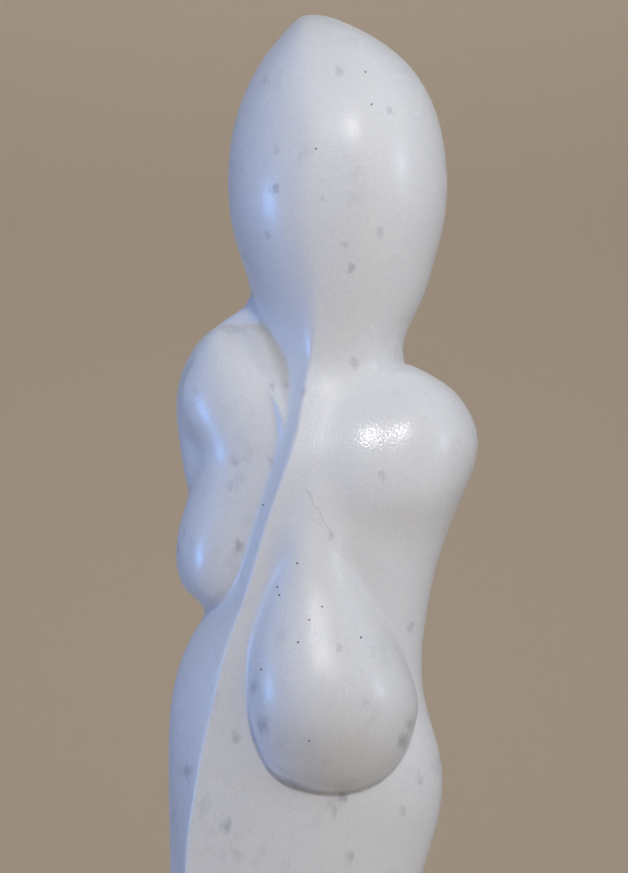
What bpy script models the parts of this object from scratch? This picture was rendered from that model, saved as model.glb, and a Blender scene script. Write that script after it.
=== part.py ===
"""Abstract standing woman, carved with its low base from one block of white marble.

Metres, +Z up, the front faces -Y, and the origin is on the ground under the middle of the base.
The form is a union of lofted masses that flow into each other: the body with its head and its ridge,
two shoulders, the fold that hangs from the left one, and the drop-shaped belly. The surface is read
off along rays that leave a line inside the figure.
"""

import math

import bpy
import numpy as np

# Sizes of the whole work
FIGURE_HEIGHT = 0.532  # from the top of the base to the crown
BASE_HEIGHT = 0.028
BASE_WIDTH = 0.118
BASE_DEPTH = 0.102
BASE_EDGE = 0.003  # round on the base's rims
BASE_SQUARENESS = 2.6  # 2 is an ellipse, more is squarer
FOOT_FILLET = 0.007  # where the figure grows out of the base

# How finely the surface is read, and how many triangles are kept of it
LOW_ROWS = 220
CROWN_ROWS = 20
COLUMNS = (64, 36, 56)  # from the ridge around the right side, around the back, and up to the ridge again
TRIANGLES = 9600

# The carving is set out in parts of the figure's height, each 1 mm at the real size
PARTS = 532.0
PART = FIGURE_HEIGHT / PARTS

# How the masses meet, in parts
RIDGE_ROUND = 0.8  # round of the ridge on the body
KEEL_ROUND = 6.0  # the same on the head, where it is only a soft keel
CHEST_HOLLOW = 8.0  # fill between the body and the right shoulder
NECK_HOLLOW = 4.0  # the same at the shoulder's top, beside the neck
ARM_CREASE = 1.5  # fill between the body and the left arm, in front
ARM_TOP = 9.0  # more beside the neck
FOLD_HOLLOW = 4.0  # fill between the left shoulder and the fold
FOLD_ROUND = 2.5  # round of the fold's crest
BACK_HOLLOW = 14.0  # more fill at the back, which is plain
BELLY_CREASE = 1.2  # fill around the belly's lower half
BELLY_SIDE = 1.5  # more on its upper left side
BELLY_TOP = 9.0  # more where it grows out of the chest
BELLY_SINK = 12.0  # how deep its top goes under the chest
BELLY_TURN = 0.13  # how far it turns to the right, as depth for each part across
BELLY_MIDDLE = 7.0  # how far to the right of the figure's middle it hangs

# How full the masses are in front, left and right of the ridge: 1 is flat, 2 is round, more is squarer
BODY_BOW = (1.0, 2.9)
HEAD_BOW = (1.75, 2.0)
SHOULDER_BOW = (3.0, 2.3)
FOLD_BOW = (2.5, 1.15)
BELLY_FOOT_BOW = (1.9, 2.1)
BELLY_BOW = (2.4, 2.5)
BACK_BOW = 2.2  # all masses at the back
# The same where the front turns into the sides
BODY_FACE = 1.6
HEAD_FACE = 2.0
FOLD_FACE = 1.7

# Levels from which, and up to which, one shape turns into the next
HEAD_SHAPES = (408, 468)
KEEL_SOFTENS = (400, 465)
CHEST_ROUNDS = (388, 412)
NECK_HOLLOWS = (400, 412)
ARM_FILLS = (376, 404)
BELLY_FILLS_OUT = (268, 305)
BELLY_SINKS = (345, 385)
BELLY_SIDE_FILLS = (294, 318)
BELLY_TOP_FILLS = (332, 368)
# The same across and in depth
FACE_ROUNDS = (-10, 15)
BELLY_SIDE_ENDS = (5, -10)
BACK_FILLS = (-5, 20)

# Level above the base, left edge, ridge, right edge, front and back, both from the figure's middle
BODY = [
    (0, -25, 1, 25, 25, 24),
    (30, -25, -3, 22, 21, 20),
    (85, -33, -14, 27, 24, 27),
    (135, -39, -28, 29, 26, 28),
    (190, -46.5, -40, 33.5, 27, 34),
    (232, -50.7, -44, 37.8, 28, 39),
    (247, -50.9, -43.2, 42.2, 29, 40),
    (262, -51.2, -40.8, 44.6, 29.5, 39),
    (274, -51.2, -38.8, 43.5, 29, 37),
    (292, -50.2, -34.6, 38.6, 28, 32),
    (312, -44.5, -29.8, 37.8, 28.5, 27),
    (330, -34, -23.6, 40.4, 29.5, 27),
    (345, -28, -19.2, 43.6, 31.5, 28),
    (360, -23, -14.6, 45, 33, 30),
    (375, -18, -9.4, 42, 32.9, 30),
    (389, -14, -5.5, 36, 29.6, 28),
    (400, -13.2, -3.6, 33, 26.2, 26),
    (411, -14.5, -1, 31, 24.6, 27),
    (418, -16, 0.2, 31.2, 25.6, 30),
    (431, -20.2, 1.8, 36.9, 29.4, 36),
    (445, -25.2, 3.2, 41.5, 34, 42.5),
    (460, -29.4, 4.4, 45.2, 37.6, 47),
    (474, -30.4, 4.8, 46.2, 39, 48),
    (487, -29.5, 4.8, 45, 38.3, 47.2),
    (500, -26.3, 4.2, 41.5, 35, 44.3),
    (517.6, -17.4, 2.4, 29.4, 25, 34.5),
    (529, -7.8, 0, 10.6, 11.5, 16.5),
    (532, -1.4, -1.4, -1.4, 0, 0),
]
FOLD = [
    (323, -35.6, -35.6, -35.6, 0, 0),
    (327, -41, -31.5, -27, 14, 12),
    (331.5, -45.6, -27.5, -23.6, 18.5, 14),
    (341, -48.5, -24, -20, 21.5, 14),
    (355, -46.9, -18.8, -16, 22.5, 14),
    (366.5, -43.4, -15.6, -12.8, 22.5, 12),
    (374.5, -41.6, -14, -11, 22, 12),
    (381, -42, -13, -9.8, 22, 12),
    (388, -45.2, -12.4, -9.4, 21.5, 12),
    (397, -47.6, -14.4, -10.6, 20, 12),
    (407, -45.8, -21, -14, 17, 12),
    (415, -42.2, -27, -18, 13, 10),
    (420, -38, -30.5, -22, 9, 8),
    (423.4, -31.5, -31.5, -31.5, 0, 0),
]
# Level above the base, left edge, right edge, front and back, both from the figure's middle
RIGHT_SHOULDER = [
    (335, 20, 31, 8, 8),
    (350, 3.5, 43.8, 22, 17),
    (363.3, -1, 51.4, 30.4, 25),
    (371, -3, 54.6, 31.2, 29),
    (383.2, -3, 56.9, 29.6, 32),
    (390.2, 0, 55.3, 27.6, 31),
    (395.8, 4, 52.3, 25.2, 29),
    (400.8, 9, 48.2, 22, 26),
    (404.6, 14, 43.0, 18.6, 22),
    (407.8, 20, 37.2, 14, 17),
    (410, 29, 29, 0, 0),
]
LEFT_SHOULDER = [
    (338, -26, -26, -9, 9),
    (345, -34, -16, -3, 19),
    (355, -38, -2, 2, 27),
    (366.5, -44.2, 2, 7, 33),
    (373, -46.2, 4, 9, 36),
    (388, -48.2, 5, 8, 38),
    (402, -47.4, 4, 4, 38),
    (412, -44, 2, 0.5, 35),
    (420, -38.4, -1, -2.5, 30),
    (427, -28.6, -4.5, -5, 23),
    (431.5, -18.5, -8, -7, 14),
    (434, -13, -13, -9, 9),
]
BELLY = [
    (262.8, 6.8, 6.8, 26, -26),
    (264.5, -2.6, 16.5, 31, 0),
    (268.5, -12, 24.2, 35.8, 0),
    (275.8, -18, 30.6, 41.4, 0),
    (283, -20.8, 33.8, 45.4, 0),
    (293, -22.8, 35.5, 47.6, 0),
    (304, -23, 32.4, 46.2, 0),
    (313.3, -22.2, 28.2, 43.2, 0),
    (322, -20.3, 24, 40, 0),
    (333, -17.4, 18.4, 36.8, 0),
    (345.7, -14, 13.6, 34.6, 0),
    (358, -10, 12, 33.2, 0),
    (370, -5, 10, 32, 0),
    (385, 2, 4, 20, 0),
]
# The line inside the figure that the rays leave from: level, across and back
AXIS = [
    (0, 0, 0),
    (232, -6, 2),
    (300, -10, 2),
    (330, -14, 4),
    (360, -14, 6),
    (400, -9, 8),
    (420, -3, 8),
    (440, 2, 5),
    (480, 6, 0),
    (532, 4, 0),
]
# Levels of the rays' rows, each with its share of the rows below it
ROWS = [(0, 0), (230, 0.25), (255, 0.29), (300, 0.44), (395, 0.70), (435, 0.90), (474, 1)]
# Rays lean up to meet the left shoulder's top: at this slope, around this level, and this far from it
SHOULDER_LEAN, SHOULDER_TOP, SHOULDER_REACH = 0.5, 414, 10
# Others lean down, at this slope, from the first level to the second, and back to level at the third
BELLY_LEAN, BELLY_UNDERSIDE = 0.3, (300, 276, 225)
# How far in front of the figure's middle the widest outline lies, at the mass's foot and at its top
LEFT_SHOULDER_PLANE = (-9, -9)
BELLY_PLANE = (26, 12)


def smooth(levels, values, at):
    """A curve through the given rows that bends evenly (a natural cubic spline)."""
    levels, values = np.asarray(levels, float), np.asarray(values, float)
    span, slope = np.diff(levels), np.diff(values) / np.diff(levels)
    system, wanted = np.eye(len(levels)), np.zeros(len(levels))
    for k in range(1, len(levels) - 1):
        system[k, k - 1 : k + 2] = span[k - 1], 2 * (span[k - 1] + span[k]), span[k]
        wanted[k] = 6 * (slope[k] - slope[k - 1])
    bend = np.linalg.solve(system, wanted)
    at = np.clip(at, levels[0], levels[-1])
    k = np.clip(np.searchsorted(levels, at) - 1, 0, len(levels) - 2)
    a = (levels[k + 1] - at) / span[k]
    b = 1 - a
    bowed = ((a**3 - a) * bend[k] + (b**3 - b) * bend[k + 1]) * span[k] ** 2 / 6
    return a * values[k] + b * values[k + 1] + bowed


class Mass:
    """A lofted mass. Its half widths are smoothed as squares, so that it closes round at its ends."""

    STEP = 0.25

    def __init__(self, rows, forward=(0, 0), ridged=False):
        rows = np.asarray(rows, float)
        self.low, self.high = rows[0, 0], rows[-1, 0]
        self.levels = np.arange(self.low, self.high + self.STEP, self.STEP)
        level, left, right = rows[:, 0], rows[:, 1], rows[:, 3 if ridged else 2]
        ridge = rows[:, 2] if ridged else (left + right) / 2
        self.ridge = smooth(level, ridge, self.levels)
        self.plane = np.linspace(*forward, len(self.levels))
        plane = np.interp(level, self.levels, self.plane)
        reach = [ridge - left, right - ridge, rows[:, -2] - plane, rows[:, -1] + plane]
        self.left, self.right, self.front, self.back = (
            np.sqrt(np.maximum(smooth(level, r * r, self.levels), 1e-2)) for r in reach
        )

    def at(self, level):
        """Ridge, left, right, front and back reach, and the widest plane's place, at each level."""
        curves = (self.ridge, self.left, self.right, self.front, self.back, self.plane)
        return [np.interp(level, self.levels, curve) for curve in curves]

    def gap(self, x, y, level, edge=0.0, bow=(2.0, 2.0), face=2.0):
        """About how far each point is outside the mass, less than 0 inside it.

        edge rounds the ridge, bow is how full the front is left and right of the ridge, and face
        is how squarely the front meets the sides.
        """
        ridge, left, right, front, back, plane = self.at(level)
        ahead = -y - plane
        in_front = ahead > 0
        middle = np.where(in_front, ridge, ridge + (right - left) / 2)
        off = x - middle
        on_left = off < 0
        width = np.where(in_front, np.where(on_left, left, right), (left + right) / 2)
        round_off = np.where(in_front, edge, 0.0)
        across = np.hypot(off, round_off) - round_off
        width = np.hypot(width, round_off) - round_off
        deep = np.where(in_front, front, back)
        p = np.where(in_front, np.where(on_left, bow[0], bow[1]), BACK_BOW)
        q = np.where(in_front, face, BACK_BOW)
        u, v = np.maximum(across / width, 1e-6), np.maximum(np.abs(ahead) / deep, 1e-6)
        wide, tall = u**p, v**q
        field = wide + tall
        power = (p * wide + q * tall) / field
        steep = np.hypot(p * wide / u / width, q * tall / v / deep)
        flat_gap = (field ** (1 / power) - 1) * power * field ** (1 - 1 / power) / np.maximum(steep, 1e-6)
        beyond = np.maximum(np.maximum(self.low - level, level - self.high), 0)
        return np.where(beyond > 0, np.hypot(np.maximum(flat_gap, 0), beyond), flat_gap)


def blend(a, b, radius):
    """The union of two masses, with their meeting line filled to about the given radius."""
    h = np.maximum(radius - np.abs(a - b), 0) / radius
    return np.minimum(a, b) - h * h * radius / 4


def step_up(low, high, value):
    """0 on low's side, 1 on high's side, smooth in between."""
    t = np.clip((value - low) / (high - low), 0, 1)
    return t * t * (3 - 2 * t)


def between(a, b, share):
    return a + (b - a) * share


BODY_MASS = Mass(BODY, ridged=True)
RIGHT_SHOULDER_MASS = Mass(RIGHT_SHOULDER)
LEFT_SHOULDER_MASS = Mass(LEFT_SHOULDER, LEFT_SHOULDER_PLANE)
FOLD_MASS = Mass(FOLD, ridged=True)
BELLY_MASS = Mass(BELLY, BELLY_PLANE)


def figure_gap(x, y, level):
    """About how far each point is outside the figure, in parts."""
    head = step_up(*HEAD_SHAPES, level)
    flat, full = BODY_BOW
    body = BODY_MASS.gap(
        x,
        y,
        level,
        edge=RIDGE_ROUND + KEEL_ROUND * step_up(*KEEL_SOFTENS, level),
        bow=(between(flat, HEAD_BOW[0], head), between(full, HEAD_BOW[1], step_up(*CHEST_ROUNDS, level))),
        face=between(BODY_FACE, HEAD_FACE, np.maximum(head, step_up(*FACE_ROUNDS, x))),
    )
    shoulder = RIGHT_SHOULDER_MASS.gap(x, y, level, bow=SHOULDER_BOW)
    body = blend(body, shoulder, between(CHEST_HOLLOW, NECK_HOLLOW, step_up(*NECK_HOLLOWS, level)))
    back_hollow = BACK_HOLLOW * step_up(*BACK_FILLS, y)
    arm = LEFT_SHOULDER_MASS.gap(x, y, level)
    fold = FOLD_MASS.gap(x, y, level, edge=FOLD_ROUND, bow=FOLD_BOW, face=FOLD_FACE)
    arm = blend(arm, fold, FOLD_HOLLOW + back_hollow / 2)
    body = blend(body, arm, ARM_CREASE + ARM_TOP * step_up(*ARM_FILLS, level) + back_hollow)
    turned = y - BELLY_TURN * (x - BELLY_MIDDLE)
    filled = step_up(*BELLY_FILLS_OUT, level)
    bow = [between(foot, above, filled) for foot, above in zip(BELLY_FOOT_BOW, BELLY_BOW)]
    belly = BELLY_MASS.gap(x, turned, level, bow=bow) + BELLY_SINK * step_up(*BELLY_SINKS, level)
    side = BELLY_SIDE * step_up(*BELLY_SIDE_FILLS, level) * step_up(*BELLY_SIDE_ENDS, x)
    return blend(body, belly, BELLY_CREASE + side + BELLY_TOP * step_up(*BELLY_TOP_FILLS, level))


def ridge_place(level):
    """Where the ridge stands at each level: across and to the front."""
    ridge, _, _, front, _, _ = BODY_MASS.at(level)
    return ridge, front


def axis_place(level):
    """Where the line inside the figure stands at each level: across and to the back."""
    levels, across, back = zip(*AXIS)
    return smooth(levels, across, level), smooth(levels, back, level)


def extra_lift(level, heading, off_ridge):
    """How much each ray leans up to the left shoulder's top, and down to the belly's underside."""
    leftward, forward, right_of_ridge = -np.cos(heading), -np.sin(heading), off_ridge
    near_top = np.exp(-(((level - SHOULDER_TOP) / SHOULDER_REACH) ** 2))
    to_shoulder = SHOULDER_LEAN * near_top * step_up(0, 0.9, leftward)
    above, lowest, below = BELLY_UNDERSIDE
    under = step_up(above, lowest, level) * step_up(below, lowest, level)
    to_belly = BELLY_LEAN * under * step_up(0.2, 0.9, forward) * step_up(0.02, 0.3, right_of_ridge)
    return to_shoulder - to_belly


def read_surface(levels, tilts, columns):
    """Points of the figure's surface, one row for each level and one column for each heading.

    The first column follows the ridge. tilts lift the rays of a row, so that the crown is covered.
    """
    right_columns, back_columns, left_columns = columns
    ox, oy = axis_place(levels)
    rx, reach = ridge_place(levels)
    ahead = np.arctan2(-reach - oy, rx - ox)
    fade = np.cos(np.clip(tilts, 0, None)) ** 0.5
    headings = []
    for at, heading in enumerate(ahead):
        heading = -math.pi / 2 + (heading + math.pi / 2) * fade[at]
        headings.append(
            np.concatenate(
                [
                    np.linspace(heading, 0, right_columns, endpoint=False),
                    np.linspace(0, math.pi, back_columns, endpoint=False),
                    np.linspace(math.pi, heading + 2 * math.pi, left_columns, endpoint=False),
                ]
            )
        )
    headings = np.array(headings)
    off_ridge = (headings - headings[:, :1] + math.pi) % (2 * math.pi) - math.pi
    lift = tilts[:, None] + extra_lift(levels[:, None], headings, off_ridge)
    flat_reach = np.cos(lift)
    direction = [np.cos(headings) * flat_reach, np.sin(headings) * flat_reach, np.sin(lift) + 0 * headings]
    start = [ox[:, None], oy[:, None], levels[:, None]]

    def outside(reach_out):
        return figure_gap(*(s + d * reach_out for s, d in zip(start, direction))) > 0

    near = np.zeros(headings.shape)
    for reach_out in np.linspace(95, 0, 96):
        hit = ~outside(np.full(headings.shape, reach_out)) & (near == 0)
        near[hit] = reach_out
    far = near + 1.0
    for _ in range(14):
        middle = (near + far) / 2
        out = outside(middle)
        far = np.where(out, middle, far)
        near = np.where(out, near, middle)
    return np.stack([s + d * near for s, d in zip(start, direction)], -1)


def rows_of_rays(low_rows, high_rows):
    """Levels and tilts of the rays, from the foot up to the head's widest and then over the crown."""
    levels, shares = zip(*ROWS)
    low = np.interp(np.linspace(0, 1, low_rows), shares, levels)
    over = np.linspace(0, math.pi / 2, high_rows + 2)[1:-1]
    return np.append(low, np.full(high_rows, levels[-1])), np.append(np.zeros(low_rows), over)


def base_ring(headings, inset, height):
    """A ring of the base's outline, drawn in by the inset."""
    c, s = np.cos(headings), np.sin(headings)
    wide = np.abs(c / (BASE_WIDTH / 2 - inset)) ** BASE_SQUARENESS
    deep = np.abs(s / (BASE_DEPTH / 2 - inset)) ** BASE_SQUARENESS
    reach = (wide + deep) ** (-1 / BASE_SQUARENESS)
    return np.stack([c * reach, s * reach, np.full(len(headings), height)], -1)


def figure_mesh(low_rows, high_rows, columns, bends=2):
    """Vertices in metres and faces of the figure on its base, as one closed surface."""
    points = read_surface(*rows_of_rays(low_rows, high_rows), columns) * PART
    points[..., 2] += BASE_HEIGHT
    around = points.shape[1]
    foot = points[0]
    headings = np.arctan2(foot[:, 1], foot[:, 0])
    rings = []
    for turn in np.linspace(0, math.pi / 2, bends + 1):
        inset, rise = BASE_EDGE * (1 - math.sin(turn)), BASE_EDGE * (1 - math.cos(turn))
        rings.append(base_ring(headings, inset, rise))
    for turn in np.linspace(math.pi / 2, 0, bends + 1):
        inset, rise = BASE_EDGE * (1 - math.sin(turn)), BASE_EDGE * (1 - math.cos(turn))
        rings.append(base_ring(headings, inset, BASE_HEIGHT - rise))
    outward = np.stack([np.cos(headings), np.sin(headings), np.zeros(around)], -1)
    for turn in np.linspace(math.pi / 2, 0, 2 * bends, endpoint=False):
        ring = foot + outward * FOOT_FILLET * (1 - math.cos(turn))
        ring[:, 2] += FOOT_FILLET * (1 - math.sin(turn))
        rings.append(ring)
    rings.extend(row for row in points if row[0, 2] > BASE_HEIGHT + FOOT_FILLET)
    crown = np.array([[BODY[-1][1] * PART, 0, BASE_HEIGHT + FIGURE_HEIGHT]])
    vertices = np.concatenate([np.zeros((1, 3)), *rings, crown])
    beside = [(j, (j + 1) % around) for j in range(around)]
    faces = [(0, 1 + k, 1 + j) for j, k in beside]
    for i in range(len(rings) - 1):
        a, b = 1 + i * around, 1 + (i + 1) * around
        faces += [(a + j, a + k, b + k, b + j) for j, k in beside]
    last, top = 1 + (len(rings) - 1) * around, len(vertices) - 1
    faces += [(last + j, last + k, top) for j, k in beside]
    return vertices, faces


def marble():
    material = bpy.data.materials.new("white_marble")
    material.use_nodes = True
    shader = material.node_tree.nodes["Principled BSDF"]
    shader.inputs["Base Color"].default_value = (0.78, 0.78, 0.80, 1)
    shader.inputs["Roughness"].default_value = 0.3
    material.diffuse_color = (0.78, 0.78, 0.80, 1)
    return material


def make_figure():
    vertices, faces = figure_mesh(LOW_ROWS, CROWN_ROWS, COLUMNS)
    mesh = bpy.data.meshes.new("figure")
    mesh.from_pydata(vertices.tolist(), [], faces)
    mesh.shade_smooth()
    mesh.materials.append(marble())
    figure = bpy.data.objects.new("figure", mesh)
    bpy.context.scene.collection.objects.link(figure)
    carved = figure.vertex_groups.new(name="carved")
    carved.add([at for at, height in enumerate(vertices[:, 2]) if height > 0], 1.0, "REPLACE")
    # Large facets where the carving is nearly flat, small ones along its ridge and creases
    fewer = figure.modifiers.new("fewer_facets", "DECIMATE")
    fewer.ratio = TRIANGLES / sum(len(face) - 2 for face in faces)
    fewer.use_collapse_triangulate = True
    fewer.vertex_group = carved.name
    return figure


for old in list(bpy.data.objects):
    bpy.data.objects.remove(old)
make_figure()
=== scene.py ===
"""Looks of the abstract standing woman in white marble.

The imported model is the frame: its one solid is replaced by the same carving, read much more finely from
the same named sizes, with a procedural marble that has soft grey clouds and flecks, one hair-thin vein, tiny
dark pits and a crystal grain. A pale studio floor, soft lamps and the photograph's level camera make up the
scene.
"""

import math

import bpy
import numpy as np
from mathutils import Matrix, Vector


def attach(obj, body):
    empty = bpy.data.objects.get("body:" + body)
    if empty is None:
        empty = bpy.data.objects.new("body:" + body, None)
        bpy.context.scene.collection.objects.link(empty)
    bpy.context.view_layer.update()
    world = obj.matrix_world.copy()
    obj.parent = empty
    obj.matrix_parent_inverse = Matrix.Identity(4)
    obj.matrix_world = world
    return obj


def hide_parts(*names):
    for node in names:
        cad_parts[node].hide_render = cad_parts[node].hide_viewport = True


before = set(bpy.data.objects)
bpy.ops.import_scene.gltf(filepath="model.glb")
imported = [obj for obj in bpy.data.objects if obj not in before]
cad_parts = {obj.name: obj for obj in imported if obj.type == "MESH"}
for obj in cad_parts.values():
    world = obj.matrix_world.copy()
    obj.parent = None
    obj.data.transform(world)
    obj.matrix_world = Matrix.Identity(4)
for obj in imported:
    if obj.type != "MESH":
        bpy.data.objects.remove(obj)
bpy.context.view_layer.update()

# Sizes of the whole work
FIGURE_HEIGHT = 0.532  # from the top of the base to the crown
BASE_HEIGHT = 0.028
BASE_WIDTH = 0.118
BASE_DEPTH = 0.102
BASE_EDGE = 0.003  # round on the base's rims
BASE_SQUARENESS = 2.6  # 2 is an ellipse, more is squarer
FOOT_FILLET = 0.007  # where the figure grows out of the base

# How finely the surface is read
LOW_ROWS = 330
CROWN_ROWS = 40
COLUMNS = (100, 50, 90)  # from the ridge around the right side, around the back, and up to the ridge again
RIM_BENDS = 4  # facets across each round of the base's rims
SEARCH_REACH = 95  # in parts, farther out than any point of the figure
HALVINGS = 14  # of the last part, to close in on the surface

# The carving is set out in parts of the figure's height, each 1 mm at the real size
PARTS = 532.0
PART = FIGURE_HEIGHT / PARTS

# How the masses meet, in parts
RIDGE_ROUND = 0.8  # round of the ridge on the body
KEEL_ROUND = 6.0  # the same on the head, where it is only a soft keel
CHEST_HOLLOW = 8.0  # fill between the body and the right shoulder
NECK_HOLLOW = 4.0  # the same at the shoulder's top, beside the neck
ARM_CREASE = 1.5  # fill between the body and the left arm, in front
ARM_TOP = 9.0  # more beside the neck
FOLD_HOLLOW = 4.0  # fill between the left shoulder and the fold
FOLD_ROUND = 2.5  # round of the fold's crest
BACK_HOLLOW = 14.0  # more fill at the back, which is plain
BELLY_CREASE = 1.2  # fill around the belly's lower half
BELLY_SIDE = 1.5  # more on its upper left side
BELLY_TOP = 9.0  # more where it grows out of the chest
BELLY_SINK = 12.0  # how deep its top goes under the chest
BELLY_TURN = 0.13  # how far it turns to the right, as depth for each part across
BELLY_MIDDLE = 7.0  # how far to the right of the figure's middle it hangs

# How full the masses are in front, left and right of the ridge: 1 is flat, 2 is round, more is squarer
BODY_BOW = (1.0, 2.9)
HEAD_BOW = (1.75, 2.0)
SHOULDER_BOW = (3.0, 2.3)
FOLD_BOW = (2.5, 1.15)
BELLY_FOOT_BOW = (1.9, 2.1)
BELLY_BOW = (2.4, 2.5)
BACK_BOW = 2.2  # all masses at the back
# The same where the front turns into the sides
BODY_FACE = 1.6
HEAD_FACE = 2.0
FOLD_FACE = 1.7

# Levels from which, and up to which, one shape turns into the next
HEAD_SHAPES = (408, 468)
KEEL_SOFTENS = (400, 465)
CHEST_ROUNDS = (388, 412)
NECK_HOLLOWS = (400, 412)
ARM_FILLS = (376, 404)
BELLY_FILLS_OUT = (268, 305)
BELLY_SINKS = (345, 385)
BELLY_SIDE_FILLS = (294, 318)
BELLY_TOP_FILLS = (332, 368)
# The same across and in depth
FACE_ROUNDS = (-10, 15)
BELLY_SIDE_ENDS = (5, -10)
BACK_FILLS = (-5, 20)

# Level above the base, left edge, ridge, right edge, front and back, both from the figure's middle
BODY = [
    (0, -25, 1, 25, 25, 24),
    (30, -25, -3, 22, 21, 20),
    (85, -33, -14, 27, 24, 27),
    (135, -39, -28, 29, 26, 28),
    (190, -46.5, -40, 33.5, 27, 34),
    (232, -50.7, -44, 37.8, 28, 39),
    (247, -50.9, -43.2, 42.2, 29, 40),
    (262, -51.2, -40.8, 44.6, 29.5, 39),
    (274, -51.2, -38.8, 43.5, 29, 37),
    (292, -50.2, -34.6, 38.6, 28, 32),
    (312, -44.5, -29.8, 37.8, 28.5, 27),
    (330, -34, -23.6, 40.4, 29.5, 27),
    (345, -28, -19.2, 43.6, 31.5, 28),
    (360, -23, -14.6, 45, 33, 30),
    (375, -18, -9.4, 42, 32.9, 30),
    (389, -14, -5.5, 36, 29.6, 28),
    (400, -13.2, -3.6, 33, 26.2, 26),
    (411, -14.5, -1, 31, 24.6, 27),
    (418, -16, 0.2, 31.2, 25.6, 30),
    (431, -20.2, 1.8, 36.9, 29.4, 36),
    (445, -25.2, 3.2, 41.5, 34, 42.5),
    (460, -29.4, 4.4, 45.2, 37.6, 47),
    (474, -30.4, 4.8, 46.2, 39, 48),
    (487, -29.5, 4.8, 45, 38.3, 47.2),
    (500, -26.3, 4.2, 41.5, 35, 44.3),
    (517.6, -17.4, 2.4, 29.4, 25, 34.5),
    (529, -7.8, 0, 10.6, 11.5, 16.5),
    (532, -1.4, -1.4, -1.4, 0, 0),
]
FOLD = [
    (323, -35.6, -35.6, -35.6, 0, 0),
    (327, -41, -31.5, -27, 14, 12),
    (331.5, -45.6, -27.5, -23.6, 18.5, 14),
    (341, -48.5, -24, -20, 21.5, 14),
    (355, -46.9, -18.8, -16, 22.5, 14),
    (366.5, -43.4, -15.6, -12.8, 22.5, 12),
    (374.5, -41.6, -14, -11, 22, 12),
    (381, -42, -13, -9.8, 22, 12),
    (388, -45.2, -12.4, -9.4, 21.5, 12),
    (397, -47.6, -14.4, -10.6, 20, 12),
    (407, -45.8, -21, -14, 17, 12),
    (415, -42.2, -27, -18, 13, 10),
    (420, -38, -30.5, -22, 9, 8),
    (423.4, -31.5, -31.5, -31.5, 0, 0),
]
# Level above the base, left edge, right edge, front and back, both from the figure's middle
RIGHT_SHOULDER = [
    (335, 20, 31, 8, 8),
    (350, 3.5, 43.8, 22, 17),
    (363.3, -1, 51.4, 30.4, 25),
    (371, -3, 54.6, 31.2, 29),
    (383.2, -3, 56.9, 29.6, 32),
    (390.2, 0, 55.3, 27.6, 31),
    (395.8, 4, 52.3, 25.2, 29),
    (400.8, 9, 48.2, 22, 26),
    (404.6, 14, 43.0, 18.6, 22),
    (407.8, 20, 37.2, 14, 17),
    (410, 29, 29, 0, 0),
]
LEFT_SHOULDER = [
    (338, -26, -26, -9, 9),
    (345, -34, -16, -3, 19),
    (355, -38, -2, 2, 27),
    (366.5, -44.2, 2, 7, 33),
    (373, -46.2, 4, 9, 36),
    (388, -48.2, 5, 8, 38),
    (402, -47.4, 4, 4, 38),
    (412, -44, 2, 0.5, 35),
    (420, -38.4, -1, -2.5, 30),
    (427, -28.6, -4.5, -5, 23),
    (431.5, -18.5, -8, -7, 14),
    (434, -13, -13, -9, 9),
]
BELLY = [
    (262.8, 6.8, 6.8, 26, -26),
    (264.5, -2.6, 16.5, 31, 0),
    (268.5, -12, 24.2, 35.8, 0),
    (275.8, -18, 30.6, 41.4, 0),
    (283, -20.8, 33.8, 45.4, 0),
    (293, -22.8, 35.5, 47.6, 0),
    (304, -23, 32.4, 46.2, 0),
    (313.3, -22.2, 28.2, 43.2, 0),
    (322, -20.3, 24, 40, 0),
    (333, -17.4, 18.4, 36.8, 0),
    (345.7, -14, 13.6, 34.6, 0),
    (358, -10, 12, 33.2, 0),
    (370, -5, 10, 32, 0),
    (385, 2, 4, 20, 0),
]
# The line inside the figure that the rays leave from: level, across and back
AXIS = [
    (0, 0, 0),
    (232, -6, 2),
    (300, -10, 2),
    (330, -14, 4),
    (360, -14, 6),
    (400, -9, 8),
    (420, -3, 8),
    (440, 2, 5),
    (480, 6, 0),
    (532, 4, 0),
]
# Levels of the rays' rows, each with its share of the rows below it
ROWS = [(0, 0), (230, 0.25), (255, 0.29), (300, 0.44), (395, 0.70), (435, 0.90), (474, 1)]
# Rays lean up to meet the left shoulder's top: at this slope, around this level, and this far from it
SHOULDER_LEAN, SHOULDER_TOP, SHOULDER_REACH = 0.5, 414, 10
# Others lean down, at this slope, from the first level to the second, and back to level at the third
BELLY_LEAN, BELLY_UNDERSIDE = 0.3, (300, 276, 225)
# How far the rays have turned to the left, to the front and off the ridge where they start to lean, and
# where they lean in full
SHOULDER_SIDE = (0, 0.9)
BELLY_FRONT = (0.2, 0.9)
BELLY_RIGHT = (0.02, 0.3)
# How far in front of the figure's middle the widest outline lies, at the mass's foot and at its top
LEFT_SHOULDER_PLANE = (-9, -9)
BELLY_PLANE = (26, 12)


def smooth(levels, values, at):
    """A curve through the given rows that bends evenly (a natural cubic spline)."""
    levels, values = np.asarray(levels, float), np.asarray(values, float)
    span, slope = np.diff(levels), np.diff(values) / np.diff(levels)
    system, wanted = np.eye(len(levels)), np.zeros(len(levels))
    for k in range(1, len(levels) - 1):
        system[k, k - 1 : k + 2] = span[k - 1], 2 * (span[k - 1] + span[k]), span[k]
        wanted[k] = 6 * (slope[k] - slope[k - 1])
    bend = np.linalg.solve(system, wanted)
    at = np.clip(at, levels[0], levels[-1])
    k = np.clip(np.searchsorted(levels, at) - 1, 0, len(levels) - 2)
    a = (levels[k + 1] - at) / span[k]
    b = 1 - a
    bowed = ((a**3 - a) * bend[k] + (b**3 - b) * bend[k + 1]) * span[k] ** 2 / 6
    return a * values[k] + b * values[k + 1] + bowed


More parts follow.
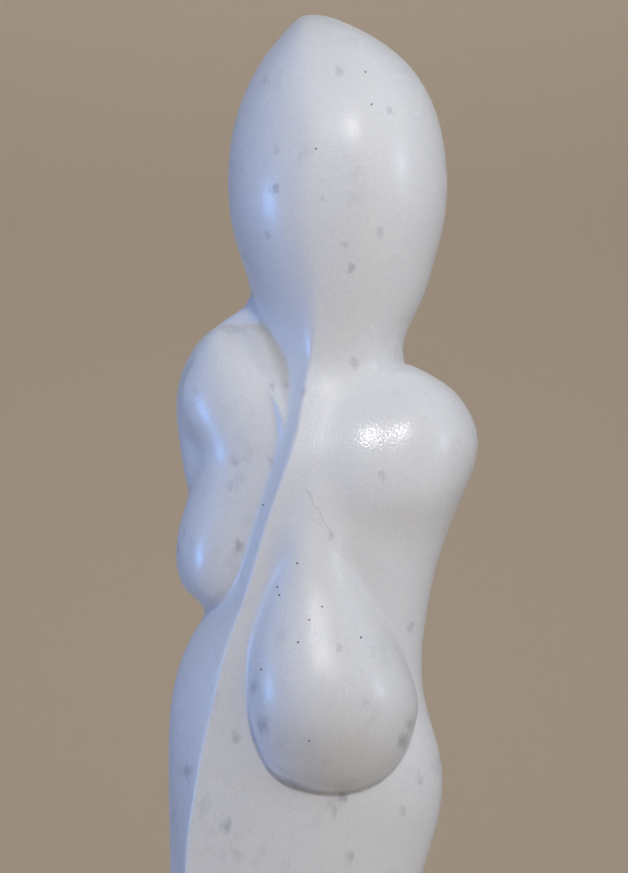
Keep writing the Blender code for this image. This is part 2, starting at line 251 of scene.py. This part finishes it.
class Mass:
    """A lofted mass. Its half widths are smoothed as squares, so that it closes round at its ends."""

    STEP = 0.25

    def __init__(self, rows, forward=(0, 0), ridged=False):
        rows = np.asarray(rows, float)
        self.low, self.high = rows[0, 0], rows[-1, 0]
        self.levels = np.arange(self.low, self.high + self.STEP, self.STEP)
        level, left, right = rows[:, 0], rows[:, 1], rows[:, 3 if ridged else 2]
        ridge = rows[:, 2] if ridged else (left + right) / 2
        self.ridge = smooth(level, ridge, self.levels)
        self.plane = np.linspace(*forward, len(self.levels))
        plane = np.interp(level, self.levels, self.plane)
        reach = [ridge - left, right - ridge, rows[:, -2] - plane, rows[:, -1] + plane]
        self.left, self.right, self.front, self.back = (
            np.sqrt(np.maximum(smooth(level, r * r, self.levels), 1e-2)) for r in reach
        )

    def at(self, level):
        """Ridge, left, right, front and back reach, and the widest plane's place, at each level."""
        curves = (self.ridge, self.left, self.right, self.front, self.back, self.plane)
        return [np.interp(level, self.levels, curve) for curve in curves]

    def gap(self, x, y, level, edge=0.0, bow=(2.0, 2.0), face=2.0):
        """About how far each point is outside the mass, less than 0 inside it.

        edge rounds the ridge, bow is how full the front is left and right of the ridge, and face
        is how squarely the front meets the sides.
        """
        ridge, left, right, front, back, plane = self.at(level)
        ahead = -y - plane
        in_front = ahead > 0
        middle = np.where(in_front, ridge, ridge + (right - left) / 2)
        off = x - middle
        on_left = off < 0
        width = np.where(in_front, np.where(on_left, left, right), (left + right) / 2)
        round_off = np.where(in_front, edge, 0.0)
        across = np.hypot(off, round_off) - round_off
        width = np.hypot(width, round_off) - round_off
        deep = np.where(in_front, front, back)
        p = np.where(in_front, np.where(on_left, bow[0], bow[1]), BACK_BOW)
        q = np.where(in_front, face, BACK_BOW)
        u, v = np.maximum(across / width, 1e-6), np.maximum(np.abs(ahead) / deep, 1e-6)
        wide, tall = u**p, v**q
        field = wide + tall
        power = (p * wide + q * tall) / field
        steep = np.hypot(p * wide / u / width, q * tall / v / deep)
        flat_gap = (field ** (1 / power) - 1) * power * field ** (1 - 1 / power) / np.maximum(steep, 1e-6)
        beyond = np.maximum(np.maximum(self.low - level, level - self.high), 0)
        return np.where(beyond > 0, np.hypot(np.maximum(flat_gap, 0), beyond), flat_gap)


def blend(a, b, radius):
    """The union of two masses, with their meeting line filled to about the given radius."""
    h = np.maximum(radius - np.abs(a - b), 0) / radius
    return np.minimum(a, b) - h * h * radius / 4


def step_up(low, high, value):
    """0 on low's side, 1 on high's side, smooth in between."""
    t = np.clip((value - low) / (high - low), 0, 1)
    return t * t * (3 - 2 * t)


def between(a, b, share):
    """The value that lies the given share of the way from a to b."""
    return a + (b - a) * share


BODY_MASS = Mass(BODY, ridged=True)
RIGHT_SHOULDER_MASS = Mass(RIGHT_SHOULDER)
LEFT_SHOULDER_MASS = Mass(LEFT_SHOULDER, LEFT_SHOULDER_PLANE)
FOLD_MASS = Mass(FOLD, ridged=True)
BELLY_MASS = Mass(BELLY, BELLY_PLANE)


def figure_gap(x, y, level):
    """About how far each point is outside the figure, in parts."""
    head = step_up(*HEAD_SHAPES, level)
    flat, full = BODY_BOW
    body = BODY_MASS.gap(
        x,
        y,
        level,
        edge=RIDGE_ROUND + KEEL_ROUND * step_up(*KEEL_SOFTENS, level),
        bow=(between(flat, HEAD_BOW[0], head), between(full, HEAD_BOW[1], step_up(*CHEST_ROUNDS, level))),
        face=between(BODY_FACE, HEAD_FACE, np.maximum(head, step_up(*FACE_ROUNDS, x))),
    )
    shoulder = RIGHT_SHOULDER_MASS.gap(x, y, level, bow=SHOULDER_BOW)
    body = blend(body, shoulder, between(CHEST_HOLLOW, NECK_HOLLOW, step_up(*NECK_HOLLOWS, level)))
    back_hollow = BACK_HOLLOW * step_up(*BACK_FILLS, y)
    arm = LEFT_SHOULDER_MASS.gap(x, y, level)
    fold = FOLD_MASS.gap(x, y, level, edge=FOLD_ROUND, bow=FOLD_BOW, face=FOLD_FACE)
    arm = blend(arm, fold, FOLD_HOLLOW + back_hollow / 2)
    body = blend(body, arm, ARM_CREASE + ARM_TOP * step_up(*ARM_FILLS, level) + back_hollow)
    turned = y - BELLY_TURN * (x - BELLY_MIDDLE)
    filled = step_up(*BELLY_FILLS_OUT, level)
    bow = [between(foot, above, filled) for foot, above in zip(BELLY_FOOT_BOW, BELLY_BOW)]
    belly = BELLY_MASS.gap(x, turned, level, bow=bow) + BELLY_SINK * step_up(*BELLY_SINKS, level)
    side = BELLY_SIDE * step_up(*BELLY_SIDE_FILLS, level) * step_up(*BELLY_SIDE_ENDS, x)
    return blend(body, belly, BELLY_CREASE + side + BELLY_TOP * step_up(*BELLY_TOP_FILLS, level))


def ridge_place(level):
    """Where the ridge stands at each level: across and to the front."""
    ridge, _, _, front, _, _ = BODY_MASS.at(level)
    return ridge, front


def axis_place(level):
    """Where the line inside the figure stands at each level: across and to the back."""
    levels, across, back = zip(*AXIS)
    return smooth(levels, across, level), smooth(levels, back, level)


def extra_lift(level, heading, off_ridge):
    """How much each ray leans up to the left shoulder's top, and down to the belly's underside."""
    leftward, forward, right_of_ridge = -np.cos(heading), -np.sin(heading), off_ridge
    near_top = np.exp(-(((level - SHOULDER_TOP) / SHOULDER_REACH) ** 2))
    to_shoulder = SHOULDER_LEAN * near_top * step_up(*SHOULDER_SIDE, leftward)
    above, lowest, below = BELLY_UNDERSIDE
    under = step_up(above, lowest, level) * step_up(below, lowest, level)
    to_belly = BELLY_LEAN * under * step_up(*BELLY_FRONT, forward) * step_up(*BELLY_RIGHT, right_of_ridge)
    return to_shoulder - to_belly


def read_surface(levels, tilts, columns):
    """Points of the figure's surface, one row for each level and one column for each heading.

    The first column follows the ridge. tilts lift the rays of a row, so that the crown is covered.
    """
    right_columns, back_columns, left_columns = columns
    ox, oy = axis_place(levels)
    rx, reach = ridge_place(levels)
    ahead = np.arctan2(-reach - oy, rx - ox)
    fade = np.cos(np.clip(tilts, 0, None)) ** 0.5
    headings = []
    for at, heading in enumerate(ahead):
        heading = -math.pi / 2 + (heading + math.pi / 2) * fade[at]
        headings.append(
            np.concatenate(
                [
                    np.linspace(heading, 0, right_columns, endpoint=False),
                    np.linspace(0, math.pi, back_columns, endpoint=False),
                    np.linspace(math.pi, heading + 2 * math.pi, left_columns, endpoint=False),
                ]
            )
        )
    headings = np.array(headings)
    off_ridge = (headings - headings[:, :1] + math.pi) % (2 * math.pi) - math.pi
    lift = tilts[:, None] + extra_lift(levels[:, None], headings, off_ridge)
    flat_reach = np.cos(lift)
    direction = [np.cos(headings) * flat_reach, np.sin(headings) * flat_reach, np.sin(lift) + 0 * headings]
    start = [ox[:, None], oy[:, None], levels[:, None]]

    def outside(reach_out):
        return figure_gap(*(s + d * reach_out for s, d in zip(start, direction))) > 0

    near = np.zeros(headings.shape)
    for reach_out in np.linspace(SEARCH_REACH, 0, SEARCH_REACH + 1):
        hit = ~outside(np.full(headings.shape, reach_out)) & (near == 0)
        near[hit] = reach_out
    far = near + 1.0
    for _ in range(HALVINGS):
        middle = (near + far) / 2
        out = outside(middle)
        far = np.where(out, middle, far)
        near = np.where(out, near, middle)
    return np.stack([s + d * near for s, d in zip(start, direction)], -1)


def rows_of_rays(low_rows, high_rows):
    """Levels and tilts of the rays, from the foot up to the head's widest and then over the crown."""
    levels, shares = zip(*ROWS)
    low = np.interp(np.linspace(0, 1, low_rows), shares, levels)
    over = np.linspace(0, math.pi / 2, high_rows + 1)[1:]
    return np.append(low, np.full(high_rows, levels[-1])), np.append(np.zeros(low_rows), over)


def base_ring(headings, inset, height):
    """A ring of the base's outline, drawn in by the inset."""
    c, s = np.cos(headings), np.sin(headings)
    wide = np.abs(c / (BASE_WIDTH / 2 - inset)) ** BASE_SQUARENESS
    deep = np.abs(s / (BASE_DEPTH / 2 - inset)) ** BASE_SQUARENESS
    reach = (wide + deep) ** (-1 / BASE_SQUARENESS)
    return np.stack([c * reach, s * reach, np.full(len(headings), height)], -1)


def figure_mesh(low_rows, high_rows, columns, bends):
    """Vertices in metres and faces of the figure on its base, as one closed surface."""
    points = read_surface(*rows_of_rays(low_rows, high_rows), columns) * PART
    points[..., 2] += BASE_HEIGHT
    around = points.shape[1]
    foot = points[0]
    headings = np.arctan2(foot[:, 1], foot[:, 0])
    rings = []
    for turn in np.linspace(0, math.pi / 2, bends + 1):
        inset, rise = BASE_EDGE * (1 - math.sin(turn)), BASE_EDGE * (1 - math.cos(turn))
        rings.append(base_ring(headings, inset, rise))
    for turn in np.linspace(math.pi / 2, 0, bends + 1):
        inset, rise = BASE_EDGE * (1 - math.sin(turn)), BASE_EDGE * (1 - math.cos(turn))
        rings.append(base_ring(headings, inset, BASE_HEIGHT - rise))
    outward = np.stack([np.cos(headings), np.sin(headings), np.zeros(around)], -1)
    for turn in np.linspace(math.pi / 2, 0, 2 * bends, endpoint=False):
        ring = foot + outward * FOOT_FILLET * (1 - math.cos(turn))
        ring[:, 2] += FOOT_FILLET * (1 - math.sin(turn))
        rings.append(ring)
    rings.extend(row for row in points[:-1] if row[0, 2] > BASE_HEIGHT + FOOT_FILLET)
    crown = points[-1].mean(0, keepdims=True)  # the last row's rays all point straight up
    vertices = np.concatenate([np.zeros((1, 3)), *rings, crown])
    beside = [(j, (j + 1) % around) for j in range(around)]
    faces = [(0, 1 + k, 1 + j) for j, k in beside]
    for i in range(len(rings) - 1):
        a, b = 1 + i * around, 1 + (i + 1) * around
        faces += [(a + j, a + k, b + k, b + j) for j, k in beside]
    last, top = 1 + (len(rings) - 1) * around, len(vertices) - 1
    faces += [(last + j, last + k, top) for j, k in beside]
    return vertices, faces


# Photograph: its size in pixels, the size of one of them at the figure, and the camera's distance
PHOTO_WIDTH, PHOTO_HEIGHT = 628, 873
PIXEL = 0.00035
NEARER = 0.965  # a pixel is smaller on the front, which stands nearer to the camera than the middle
MIDDLE_COLUMN = 315  # where the figure's middle stands
MIDDLE_HEIGHT = 0.4125  # height of the photograph's middle row
CAMERA_DISTANCE = 1.2
SENSOR = 36.0

# Marble: its body and its colours
STONE_ROUGHNESS = 0.45
STONE_INDEX = 1.5
COAT = 0.5
GLOW, GLOW_DEPTH = 0.35, 0.003  # light that sinks in and comes out again nearby
GLOW_REACH = (1.0, 0.8, 0.6)  # how far red, green and blue get
WHITE = (0.79, 0.79, 0.81, 1)
DIM_WHITE = (0.73, 0.735, 0.765, 1)  # between the crystals
CLOUD_GREY = (0.46, 0.47, 0.51, 1)
VEIN_GREY = (0.56, 0.56, 0.56, 1)
PIT_DARK = (0.10, 0.09, 0.09, 1)
MIDDLE_BAND = (0.35, 0.65)  # where most of a noise's values lie
# Its clouds: size, stretch and swirl, and the noise's values at which they begin and are full
CLOUD_SPACING = 0.0098
CLOUD_STRETCH = (1.15, 1.15, 0.85)
CLOUD_SWIRL = 0.12
CLOUD_BAND = (0.55, 0.77)
CLOUD_LEAN = math.radians(-25)  # the clouds are longer than wide, and lean down to the right
GROUP_SPACING = 0.048
GROUP_BAND = (0.38, 0.56)
HAZE_BAND, HAZE = (0.50, 0.80), 0.12  # a wide and faint greyness
FRONT_ENDS = (-0.02, 0.01)  # depths between which the front turns into the back
FRONT_CLOUDS = 0.35  # strength of the chance clouds on the front, where the flecks below are placed
# Flecks on the front: column and row in the photograph, reach in metres, strength
FLECKS = [
    (275, 187, 0.0021, 0.80), (351, 265, 0.0018, 0.70), (339, 67, 0.0020, 0.45), (265, 73, 0.0015, 0.50),
    (391, 108, 0.0015, 0.50), (276, 147, 0.0017, 0.40), (323, 197, 0.0017, 0.35), (381, 231, 0.0017, 0.45),
    (267, 232, 0.0015, 0.50), (345, 243, 0.0017, 0.35), (355, 361, 0.0017, 0.45), (271, 385, 0.0018, 0.50),
    (303, 391, 0.0015, 0.40), (285, 384, 0.0015, 0.40), (270, 463, 0.0018, 0.40), (233, 463, 0.0021, 0.55),
    (229, 488, 0.0018, 0.45), (237, 549, 0.0024, 0.75), (193, 390, 0.0017, 0.35), (382, 473, 0.0017, 0.55),
    (331, 537, 0.0015, 0.55), (339, 648, 0.0017, 0.50), (413, 632, 0.0018, 0.45), (253, 689, 0.0022, 0.75),
    (263, 726, 0.0031, 0.85), (404, 745, 0.0031, 0.85), (411, 728, 0.0020, 0.60), (366, 701, 0.0017, 0.30),
    (235, 740, 0.0024, 0.60), (225, 830, 0.0025, 0.70), (342, 801, 0.0024, 0.80), (335, 815, 0.0018, 0.45),
    (405, 818, 0.0018, 0.45), (350, 864, 0.0024, 0.60), (185, 776, 0.0025, 0.70), (423, 790, 0.0018, 0.45),
]
FLECK_RAGGED = 0.0060  # how far a fleck's edge wanders in and out
FLECK_NOTCH = 0.0024  # size of the notches in that edge
FLECK_STRETCH = (1, 1, 0.6)
FLECK_FLAT = 0.7  # height of a fleck counts for less than its width, so that flecks stand upright
# Its crystal grain, with how much of it the stone and the polish show
GRAIN_SIZE, GRAIN_DEPTH = 0.0008, 0.0002
SPECKLE_SIZE = GRAIN_SIZE * 0.7
STONE_BUMP, POLISH_BUMP = 0.2, 0.30
# Its pits
PIT_SPACING = 0.009
PIT_FREE = 0.40  # share of the places behind that have no pit
PIT_RADIUS = (0.00022, 0.00040)
PIT_DEPTH, PIT_BUMP = 0.0003, 0.8
# Pits on the front: column and row in the photograph
PITS = [
    (366, 68), (372, 102), (316, 148), (262, 506), (297, 564), (277, 588), (279, 596),
    (322, 607), (309, 620), (361, 638), (298, 642), (261, 670), (309, 740),
]
# Its polish
SATIN, SATIN_SPACING = (0.20, 0.30), 0.035  # coat roughness of the whole surface
SHINE_PLACE = (372, 432)  # pixel at the middle of the place that is rubbed to a shine
SHINE_REACH = (0.003, 0.019)
SHINE = 0.15  # how much smoother the coat is there
# Its vein
VEIN_FOOT, VEIN_TOP = (336, 543), (299, 478)  # pixels of the photograph
VEIN_WIDTH = 0.0004
VEIN_WANDER, VEIN_BEND = 0.0035, 0.004  # how far it strays from a straight line, and how often
VEIN_FADE = 0.12  # share of its length over which each end fades
VEIN_STRENGTH = 0.7

# Studio
FLOOR_RADIUS, SWEEP_RADIUS, WALL_HEIGHT = 2.6, 0.7, 2.8
FLOOR_MIDDLE = 0.02  # radius of the flat disc that closes the floor's rings
FLOOR_SIDES = 96
SWEEP_BENDS = 12
PALE, PAINT_ROUGHNESS = (0.80, 0.71, 0.61, 1), 0.9

# Lamps: azimuth, elevation, distance from the chest, size, power, colour, and whether the polish shows it
LAMPS = [
    ("key", 12, 30, 1.25, 0.12, 3.1, (1.0, 0.98, 0.95), True),
    ("soft_key", 12, 30, 1.25, 0.12, 3.0, (1.0, 0.99, 1.0), False),
    ("window", -78, -4, 1.1, 0.24, 4.4, (0.14, 0.40, 1.0), True),
    ("side", 69, 11, 1.3, 0.17, 1.6, (0.70, 0.83, 1.0), True),
    ("right_fill", 55, 30, 0.7, 0.5, 1.5, (0.85, 0.92, 1.0), False),
    ("left_fill", -50, 45, 0.7, 0.5, 0.6, (0.70, 0.84, 1.0), False),
]
FIGURE_ONLY = ("window", "side")  # these coloured lamps stand low, and are kept off the floor
# The lamp over the figure's back that lights only the wall behind it
BACKDROP_LAMP, BACKDROP_SIZE = Vector((0, 1.9, 2.5)), 0.8
BACKDROP_POWER, BACKDROP_COLOUR = 15.0, (1.0, 0.93, 0.85)
# The room's even light
AIR_COLOUR, AIR_STRENGTH = (0.80, 0.89, 1.0, 1), 0.13


def photo_place(column, row):
    """Across and height, in metres, of a pixel of the photograph on the figure's front."""
    across = (column - MIDDLE_COLUMN) * PIXEL * NEARER
    return across, MIDDLE_HEIGHT + (PHOTO_HEIGHT / 2 - row) * PIXEL * NEARER


class Nodes:
    """Short calls for building a material's node tree."""

    def __init__(self, material):
        self.tree = material.node_tree
        self.place = self.add("ShaderNodeTexCoord").outputs["Object"]

    def add(self, kind, inputs=None, **settings):
        """A new node, with values or other nodes' outputs on its inputs."""
        node = self.tree.nodes.new(kind)
        for name, value in settings.items():
            setattr(node, name, value)
        for name, value in (inputs or {}).items():
            self.feed(node.inputs[name], value)
        return node

    def feed(self, socket, value):
        if isinstance(value, bpy.types.NodeSocket):
            self.tree.links.new(value, socket)
        else:
            socket.default_value = value

    def math(self, operation, a, b=0.0, c=0.0):
        return self.add("ShaderNodeMath", {0: a, 1: b, 2: c}, operation=operation).outputs[0]

    def noise(self, size, detail=2.0, roughness=0.5, stretch=(1, 1, 1), lean=0.0, distortion=0.0):
        """Noise whose features are about the given size in metres, 0 to 1."""
        turned = self.add("ShaderNodeMapping", {"Vector": self.place, "Rotation": (0, lean, 0)})
        where = self.add("ShaderNodeMapping", {"Vector": turned.outputs[0], "Scale": stretch})
        inputs = {"Vector": where.outputs[0], "Scale": 1 / size, "Detail": detail}
        inputs.update({"Roughness": roughness, "Distortion": distortion})
        return self.add("ShaderNodeTexNoise", inputs).outputs["Fac"]

    def range(self, value, low, high, to_low=0.0, to_high=1.0):
        """to_low where the value is under low, to_high where it is over high, smooth in between."""
        inputs = {"Value": value, "From Min": low, "From Max": high, "To Min": to_low, "To Max": to_high}
        return self.add("ShaderNodeMapRange", inputs, interpolation_type="SMOOTHSTEP").outputs[0]

    def mix(self, share, a, b):
        node = self.add("ShaderNodeMix", data_type="RGBA")
        self.feed(node.inputs[0], share)
        self.feed(node.inputs[6], a)  # the sockets before these are for numbers and vectors
        self.feed(node.inputs[7], b)
        return node.outputs[2]


def distance(nodes, pixel, flat=1.0):
    """Distance of the shaded point from a pixel of the photograph, seen from the front."""
    across, height = photo_place(*pixel)
    inputs = {0: nodes.place, 1: (1, 0, flat)}
    seen = nodes.add("ShaderNodeVectorMath", inputs, operation="MULTIPLY").outputs[0]
    inputs = {0: seen, 1: (across, 0, height * flat)}
    return nodes.add("ShaderNodeVectorMath", inputs, operation="DISTANCE").outputs["Value"]


def depth(nodes):
    """Where the shaded point lies from front to back; the front is below zero."""
    return nodes.add("ShaderNodeSeparateXYZ", {0: nodes.place}).outputs[1]


def flecks(nodes):
    """The single grey flecks on the front, with ragged edges."""
    wander = nodes.noise(FLECK_NOTCH, 4, 0.7, FLECK_STRETCH, CLOUD_LEAN)
    ragged = nodes.math("MULTIPLY", nodes.math("SUBTRACT", wander, 0.5), FLECK_RAGGED)
    most = 0.0
    for column, row, reach, strength in FLECKS:
        edge = nodes.math("ADD", distance(nodes, (column, row), FLECK_FLAT), ragged)
        most = nodes.math("MAXIMUM", most, nodes.range(edge, 0, reach, strength, 0))
    return nodes.math("MULTIPLY", most, nodes.math("LESS_THAN", depth(nodes), 0.0))


def clouds(nodes):
    """Soft grey clouds a few millimetres across, in loose groups, fewer on the front."""
    flowing = nodes.noise(CLOUD_SPACING, 3, 0.55, CLOUD_STRETCH, CLOUD_LEAN, CLOUD_SWIRL)
    spots = nodes.range(flowing, *CLOUD_BAND)
    groups = nodes.range(nodes.noise(GROUP_SPACING, 1), *GROUP_BAND)
    wide = nodes.range(nodes.noise(GROUP_SPACING, 3), *HAZE_BAND, 0, HAZE)
    fewer = nodes.range(depth(nodes), *FRONT_ENDS, FRONT_CLOUDS, 1)
    chance = nodes.math("MULTIPLY", nodes.math("MULTIPLY", spots, groups), fewer)
    return nodes.math("ADD", nodes.math("MAXIMUM", chance, flecks(nodes)), wide)


def vein(nodes):
    """One hair-thin vein that crosses the front of the trunk, between two pixels of the photograph."""
    (x0, z0), (x1, z1) = photo_place(*VEIN_FOOT), photo_place(*VEIN_TOP)
    axes = nodes.add("ShaderNodeSeparateXYZ", {0: nodes.place})
    wander = nodes.math("MULTIPLY", nodes.math("SUBTRACT", nodes.noise(VEIN_BEND, 3), 0.5), VEIN_WANDER)
    along = nodes.range(axes.outputs[2], z0, z1)
    above = nodes.math("SUBTRACT", axes.outputs[2], z0)
    line = nodes.math("MULTIPLY_ADD", above, (x1 - x0) / (z1 - z0), x0)
    off = nodes.math("ABSOLUTE", nodes.math("SUBTRACT", axes.outputs[0], nodes.math("ADD", line, wander)))
    thread = nodes.range(off, 0, VEIN_WIDTH, 1, 0)
    fade_in, fade_out = nodes.range(along, 0, VEIN_FADE), nodes.range(along, 1 - VEIN_FADE, 1, 1, 0)
    ends = nodes.math("MULTIPLY", fade_in, fade_out)
    ahead = nodes.math("LESS_THAN", axes.outputs[1], 0.0)
    return nodes.math("MULTIPLY", nodes.math("MULTIPLY", thread, ends), ahead)


def pits(nodes):
    """Pinholes half a millimetre wide: those that the photograph shows, and rare ones behind."""
    cells = nodes.add("ShaderNodeTexVoronoi", {"Vector": nodes.place, "Scale": 1 / PIT_SPACING})
    inner, outer = (radius / PIT_SPACING for radius in PIT_RADIUS)
    hole = nodes.range(cells.outputs["Distance"], inner, outer, 1, 0)
    chance = nodes.add("ShaderNodeSeparateColor", {0: cells.outputs["Color"]}).outputs[0]
    placed = 0.0
    for pixel in PITS:
        placed = nodes.math("MAXIMUM", placed, nodes.range(distance(nodes, pixel), *PIT_RADIUS, 1, 0))
    placed = nodes.math("MULTIPLY", placed, nodes.math("LESS_THAN", depth(nodes), 0.0))
    rare = nodes.math("MULTIPLY", hole, nodes.math("GREATER_THAN", chance, PIT_FREE))
    rare = nodes.math("MULTIPLY", rare, nodes.math("GREATER_THAN", depth(nodes), 0.0))
    return nodes.math("MAXIMUM", placed, rare)


def marble():
    """White crystalline marble under a satin polish."""
    material = bpy.data.materials.new("white_marble")
    material.use_nodes = True
    nodes = Nodes(material)
    shader = material.node_tree.nodes["Principled BSDF"]
    pit = pits(nodes)
    speckle = nodes.range(nodes.noise(SPECKLE_SIZE, 2), *MIDDLE_BAND)
    colour = nodes.mix(speckle, WHITE, DIM_WHITE)
    colour = nodes.mix(clouds(nodes), colour, CLOUD_GREY)
    colour = nodes.mix(nodes.math("MULTIPLY", vein(nodes), VEIN_STRENGTH), colour, VEIN_GREY)
    colour = nodes.mix(pit, colour, PIT_DARK)
    nodes.feed(shader.inputs["Base Color"], colour)
    satin = nodes.range(nodes.noise(SATIN_SPACING, 2), *MIDDLE_BAND, *SATIN)
    shine = nodes.range(distance(nodes, SHINE_PLACE), *SHINE_REACH, SHINE, 0)
    nodes.feed(shader.inputs["Coat Roughness"], nodes.math("SUBTRACT", satin, shine))
    grain = nodes.noise(GRAIN_SIZE, 1)
    rough = {"Height": grain, "Strength": STONE_BUMP, "Distance": GRAIN_DEPTH}
    stone = nodes.add("ShaderNodeBump", rough)
    sinking = {"Height": pit, "Strength": PIT_BUMP, "Distance": PIT_DEPTH, "Normal": stone.outputs[0]}
    sunk = nodes.add("ShaderNodeBump", sinking, invert=True)
    nodes.feed(shader.inputs["Normal"], sunk.outputs[0])
    sparkle = {"Height": grain, "Strength": POLISH_BUMP, "Distance": GRAIN_DEPTH}
    crystals = nodes.add("ShaderNodeBump", sparkle)
    nodes.feed(shader.inputs["Coat Normal"], crystals.outputs[0])
    shader.inputs["Roughness"].default_value = STONE_ROUGHNESS
    shader.inputs["Coat Weight"].default_value = COAT
    shader.inputs["Subsurface Weight"].default_value = GLOW
    shader.inputs["Subsurface Radius"].default_value = GLOW_REACH
    shader.inputs["Subsurface Scale"].default_value = GLOW_DEPTH
    shader.inputs["IOR"].default_value = STONE_INDEX
    return material


def make_figure():
    """The carved figure on its base, in place of the faceted solid."""
    vertices, faces = figure_mesh(LOW_ROWS, CROWN_ROWS, COLUMNS, RIM_BENDS)
    mesh = bpy.data.meshes.new("carved_figure")
    mesh.from_pydata(vertices.tolist(), [], faces)
    mesh.shade_smooth()
    mesh.materials.append(marble())
    figure = bpy.data.objects.new("carved_figure", mesh)
    bpy.context.scene.collection.objects.link(figure)
    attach(figure, "root")
    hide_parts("figure")
    return figure


def make_studio():
    """A round pale floor that sweeps up into a wall, so that every view has a plain background."""
    profile = [(FLOOR_MIDDLE, 0.0), (FLOOR_RADIUS, 0.0)]
    for turn in np.linspace(0, math.pi / 2, SWEEP_BENDS + 1)[1:]:
        rise = SWEEP_RADIUS * (1 - math.cos(turn))
        profile.append((FLOOR_RADIUS + SWEEP_RADIUS * math.sin(turn), rise))
    profile.append((FLOOR_RADIUS + SWEEP_RADIUS, WALL_HEIGHT))
    turns = np.linspace(0, 2 * math.pi, FLOOR_SIDES, endpoint=False)
    points = [(r * math.cos(a), r * math.sin(a), z) for r, z in profile for a in turns]
    faces = [tuple(range(FLOOR_SIDES))]
    for inner in range(0, (len(profile) - 1) * FLOOR_SIDES, FLOOR_SIDES):
        outer = inner + FLOOR_SIDES
        for j in range(FLOOR_SIDES):
            k = (j + 1) % FLOOR_SIDES
            faces.append((inner + j, outer + j, outer + k, inner + k))
    mesh = bpy.data.meshes.new("studio_floor")
    mesh.from_pydata(points, [], faces)
    mesh.shade_smooth()
    paint = bpy.data.materials.new("studio_paint")
    paint.use_nodes = True
    shader = paint.node_tree.nodes["Principled BSDF"]
    shader.inputs["Base Color"].default_value = PALE
    shader.inputs["Roughness"].default_value = PAINT_ROUGHNESS
    mesh.materials.append(paint)
    floor = bpy.data.objects.new("studio_floor", mesh)
    bpy.context.scene.collection.objects.link(floor)


def make_camera():
    """The photograph's camera: level, in front, and as far zoomed in as the picture shows."""
    camera_data = bpy.data.cameras.new("camera")
    camera_data.sensor_width = SENSOR
    camera_data.lens = SENSOR * CAMERA_DISTANCE / (PHOTO_HEIGHT * PIXEL)
    camera = bpy.data.objects.new("camera", camera_data)
    across = (PHOTO_WIDTH / 2 - MIDDLE_COLUMN) * PIXEL
    camera.location = (across, -CAMERA_DISTANCE, MIDDLE_HEIGHT)
    camera.rotation_euler = (math.pi / 2, 0, 0)
    bpy.context.scene.collection.objects.link(camera)
    bpy.context.scene.camera = camera


def way_out(azimuth, elevation):
    """The way out from the figure, azimuth degrees to the right of its front and so far up."""
    turn, rise = math.radians(azimuth), math.radians(elevation)
    return Vector((math.sin(turn) * math.cos(rise), -math.cos(turn) * math.cos(rise), math.sin(rise)))


def make_lamp(name, place, target, size, power, colour, reflected):
    """A square lamp aimed at the target. One that isn't reflected leaves no highlight on the polish."""
    light = bpy.data.lights.new(name, "AREA")
    light.size = size
    light.energy = power
    light.color = colour
    lamp = bpy.data.objects.new(name, light)
    lamp.location = place
    lamp.rotation_euler = (target - place).to_track_quat("-Z", "Y").to_euler()
    lamp.visible_camera = False
    lamp.visible_glossy = reflected
    bpy.context.scene.collection.objects.link(lamp)
    return lamp


def make_light(figure):
    """The lamps around the figure, the one for the backdrop, and the room's faint even light."""
    lit = bpy.data.collections.new("lit_figure")
    lit.objects.link(figure)
    chest = Vector((0, 0, MIDDLE_HEIGHT))
    for name, azimuth, elevation, away, size, power, colour, reflected in LAMPS:
        place = chest + way_out(azimuth, elevation) * away
        lamp = make_lamp(name, place, chest, size, power, colour, reflected)
        if name in FIGURE_ONLY:
            lamp.light_linking.receiver_collection = lit
    wall = Vector((0, FLOOR_RADIUS + SWEEP_RADIUS, MIDDLE_HEIGHT))
    make_lamp("backdrop", BACKDROP_LAMP, wall, BACKDROP_SIZE, BACKDROP_POWER, BACKDROP_COLOUR, False)
    world = bpy.data.worlds.new("studio_air")
    bpy.context.scene.world = world
    world.use_nodes = True
    air = world.node_tree.nodes["Background"]
    air.inputs["Color"].default_value = AIR_COLOUR
    air.inputs["Strength"].default_value = AIR_STRENGTH


make_camera()
carving = make_figure()
make_studio()
make_light(carving)
bpy.context.scene.view_settings.view_transform = "Standard"
